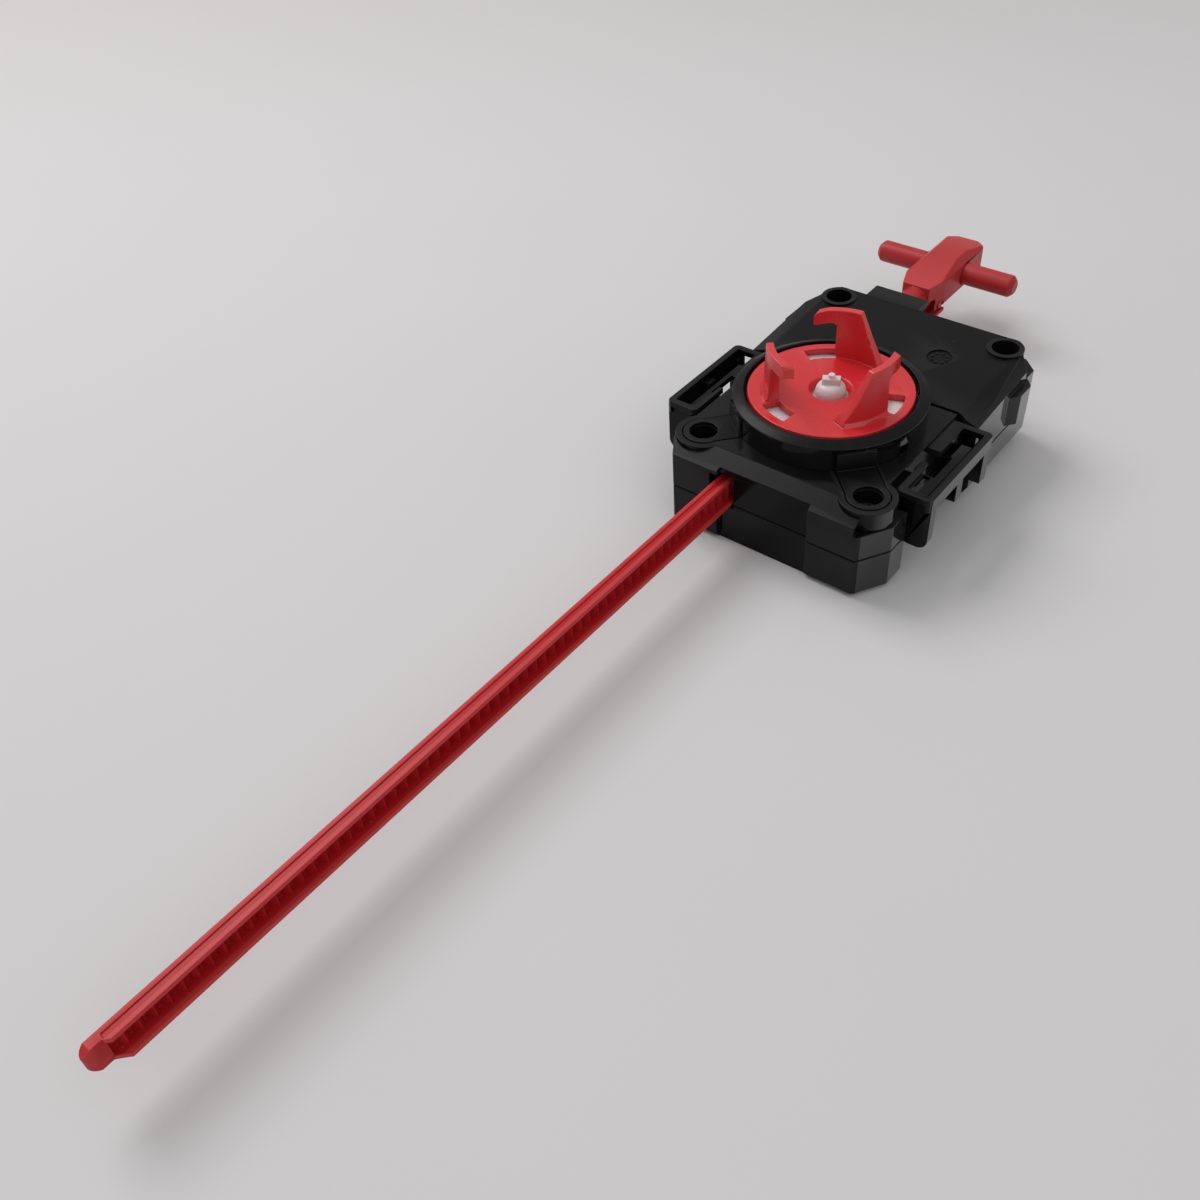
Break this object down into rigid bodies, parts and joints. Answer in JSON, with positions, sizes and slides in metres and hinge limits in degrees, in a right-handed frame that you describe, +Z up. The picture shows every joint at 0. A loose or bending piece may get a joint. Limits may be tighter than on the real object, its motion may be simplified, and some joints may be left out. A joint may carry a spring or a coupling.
{
  "type": "spinning top launcher",
  "caption": "Hand launcher for a spinning top: black casing with a red three-hooked hub in a raised ring, side rails, and a long toothed red winder with a cross-bar handle.",
  "frame": {"origin": "on the rest plane under the casing, straight below the hub's spin axis", "axes": "+X to the casing's right, +Y from the front face towards the winder's handle along the winder, +Z up along the spin axis"},
  "size_m": [0.0666, 0.2814, 0.0389],
  "materials": {
    "black_plastic": "satin black moulded plastic",
    "hub_red": "bright red moulded plastic",
    "winder_red": "deep red moulded plastic",
    "plunger_white": "milky white plastic",
    "gear_plastic": "natural gear plastic",
    "steel": "zinc plated steel",
    "bronze": "plain bronze"
  },
  "bodies": {
    "casing": {"lower_case": "black_plastic", "upper_case": "black_plastic", "rear_cover": "black_plastic", "launch_ring": "black_plastic", "left_side_rail": "black_plastic", "right_side_rail": "black_plastic", "front_screws": "steel", "rear_screws": "steel", "upper_bush": "bronze", "lower_bush": "bronze", "thrust_washer": "steel", "gear_axle": "steel"},
    "hub": {"hub_disc": "hub_red", "hub_spindle": "gear_plastic", "hub_gear": "gear_plastic", "spindle_clip": "steel", "plunger_spring": "steel"},
    "plunger": {"lock_plunger": "plunger_white"},
    "gear": {"step_gear": "gear_plastic"},
    "winder": {"winder_rack": "winder_red", "handle_block": "winder_red", "handle_bar": "winder_red", "handle_pin": "winder_red"}
  },
  "joints": [
    {"name": "winder_pull", "type": "slide", "parent": "casing", "child": "winder", "axis": [0, 1, 0], "range_m": [0, 0.23]},
    {"name": "gear_spin", "type": "hinge", "parent": "casing", "child": "gear", "pos_m": [-0.00385, 0.01568, 0.0125], "axis": [0, 0, 1], "continuous": true},
    {"name": "hub_spin", "type": "hinge", "parent": "casing", "child": "hub", "pos_m": [0, 0, 0.0272], "axis": [0, 0, 1], "continuous": true},
    {"name": "plunger_press", "type": "slide", "parent": "hub", "child": "plunger", "axis": [0, 0, -1], "range_m": [0, 0.0018], "stiffness_N_per_m": 300, "springref_m": -0.003, "deforming": ["plunger_spring"]}
  ],
  "couplings": [
    {"joint": "gear_spin", "follows": "winder_pull", "rad_per_m": -196.08},
    {"joint": "hub_spin", "follows": "winder_pull", "rad_per_m": 336.13}
  ]
}
